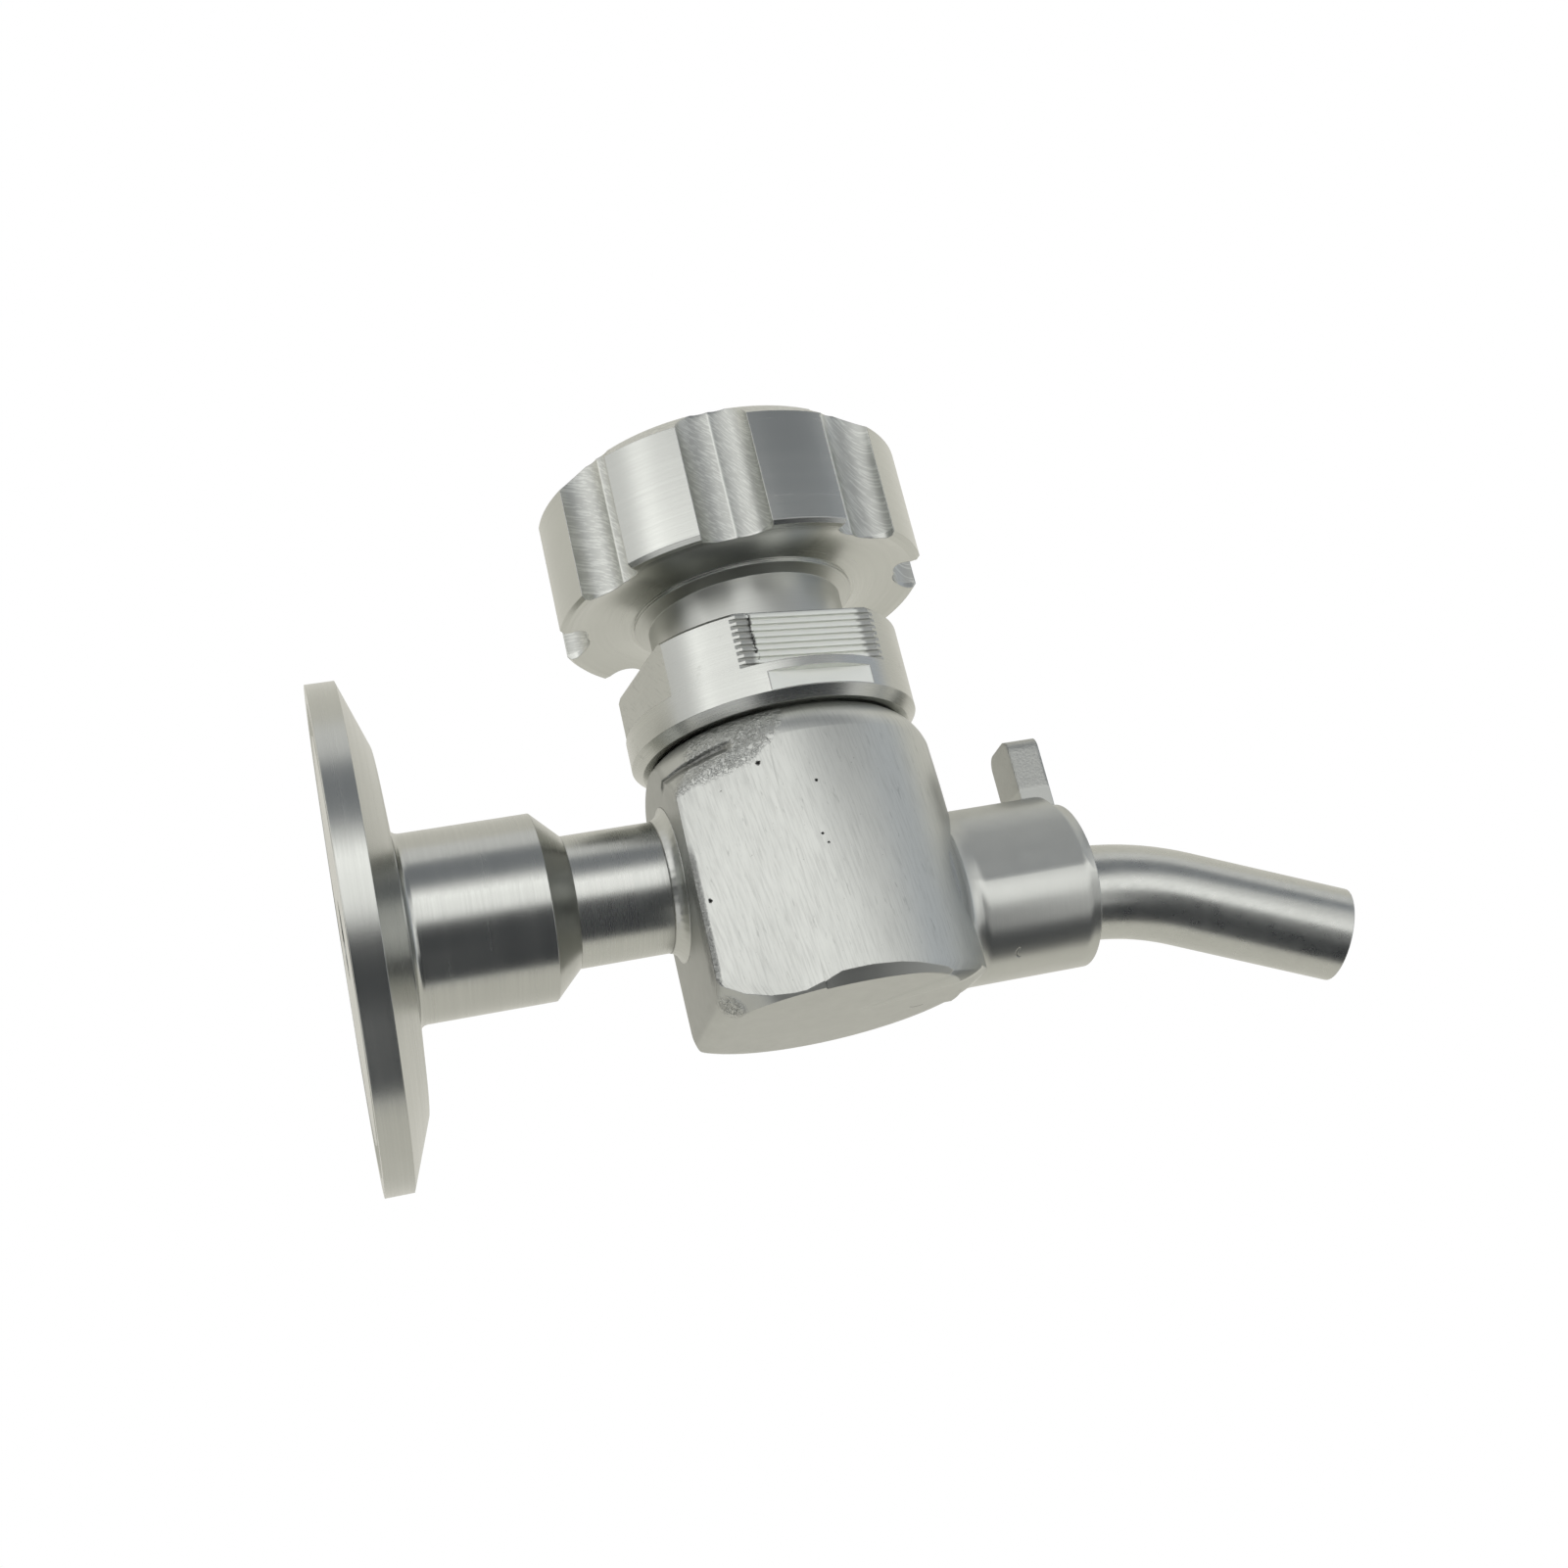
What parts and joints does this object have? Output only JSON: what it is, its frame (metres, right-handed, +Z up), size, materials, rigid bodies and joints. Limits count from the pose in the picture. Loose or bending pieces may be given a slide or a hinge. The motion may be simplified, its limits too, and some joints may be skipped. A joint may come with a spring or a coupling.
{
  "type": "sanitary sampling valve",
  "caption": "Stainless sampling valve with a clamp ferrule inlet, a seat valve under a union nut, a fluted knob and a bent outlet spout.",
  "frame": {"origin": "centre of the ferrule's sealing face, on the inlet's centre line", "axes": "+X along the flow, from the ferrule towards the spout; +Z up the stem towards the knob; +Y completes the right-handed set"},
  "size_m": [0.1043, 0.0504, 0.0695],
  "materials": {
    "turned_steel": "satin turned stainless steel",
    "tube_steel": "satin drawn stainless tube",
    "cast_steel": "belt-ground and blasted stainless casting",
    "weld_steel": "brushed weld bead",
    "fastener_steel": "plain stainless fastener",
    "seal_rubber": "black food-grade rubber",
    "seat_rubber": "white food-grade rubber",
    "ptfe": "white low-friction plastic"
  },
  "bodies": {
    "valve": {"ferrule": "turned_steel", "inlet_tube": "tube_steel", "inlet_weld": "weld_steel", "valve_body": "cast_steel", "outlet_spout": "tube_steel", "bonnet": "turned_steel", "anti_turn_pin": "fastener_steel", "guide_bush": "ptfe", "stem_o_ring_lower": "seal_rubber", "stem_o_ring_upper": "seal_rubber", "bonnet_o_ring": "seal_rubber", "hub_o_ring": "seal_rubber", "slip_washer": "ptfe", "bonnet_nut": "turned_steel"},
    "plug": {"plug_holder": "turned_steel", "thrust_washer": "ptfe", "swivel_clip": "fastener_steel", "seat_disc": "seat_rubber", "disc_washer": "fastener_steel", "disc_screw": "fastener_steel"},
    "handwheel": {"stem": "turned_steel", "knob": "turned_steel", "knob_washer": "fastener_steel", "lock_washer": "fastener_steel", "knob_screw": "fastener_steel"}
  },
  "joints": [
    {"name": "plug_lift", "type": "slide", "parent": "valve", "child": "plug", "axis": [0, 0, 1], "range_m": [0, 0.005]},
    {"name": "knob_turn", "type": "hinge", "parent": "plug", "child": "handwheel", "pos_m": [0.047, 0, 0.03], "axis": [0, 0, 1], "range_deg": [0, 900]}
  ],
  "couplings": [
    {"joint": "knob_turn", "follows": "plug_lift", "rad_per_m": 3141.6}
  ]
}
